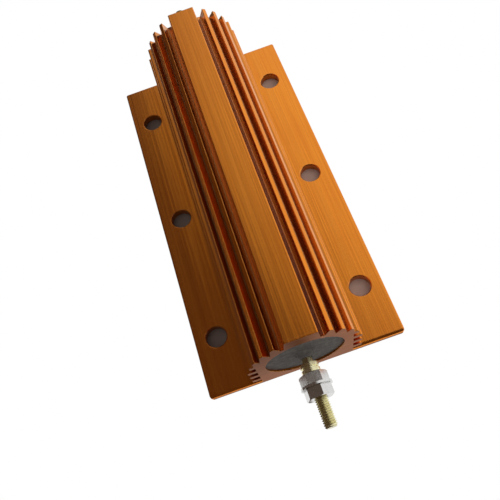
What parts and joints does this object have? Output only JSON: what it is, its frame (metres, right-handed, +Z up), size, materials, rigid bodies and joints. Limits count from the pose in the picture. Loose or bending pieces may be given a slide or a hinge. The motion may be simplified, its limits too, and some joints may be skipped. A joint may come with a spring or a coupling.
{
  "type": "aluminium housed power resistor",
  "caption": "Wirewound power resistor in a finned, gold anodised aluminium extrusion with a drilled mounting flange and a threaded terminal stud at each end.",
  "frame": {"origin": "centre of the flange's underside", "axes": "X across the flange, Y along the body from the front terminal to the rear terminal, Z up away from the mounting surface"},
  "size_m": [0.048, 0.1288, 0.0245],
  "materials": {
    "housing": "gold-orange anodised, satin, with fine die lines",
    "seal": "dark grey moulded cement, matt",
    "cement": "pale cement, rough",
    "ceramic": "unglazed ceramic",
    "winding": "drawn resistance wire",
    "cap": "pressed steel",
    "stud": "bright, pale yellow",
    "zinc": "bright zinc plate"
  },
  "bodies": {
    "root": {"housing": "housing", "cement_filling": "cement", "ceramic_core": "ceramic", "resistance_winding": "winding", "front_end_cap": "cap", "front_end_seal": "seal", "front_terminal_stud": "stud", "front_inner_nut": "zinc", "front_washer": "zinc", "front_outer_nut": "zinc", "rear_end_cap": "cap", "rear_end_seal": "seal", "rear_terminal_stud": "stud", "rear_inner_nut": "zinc", "rear_washer": "zinc", "rear_outer_nut": "zinc"}
  },
  "joints": []
}
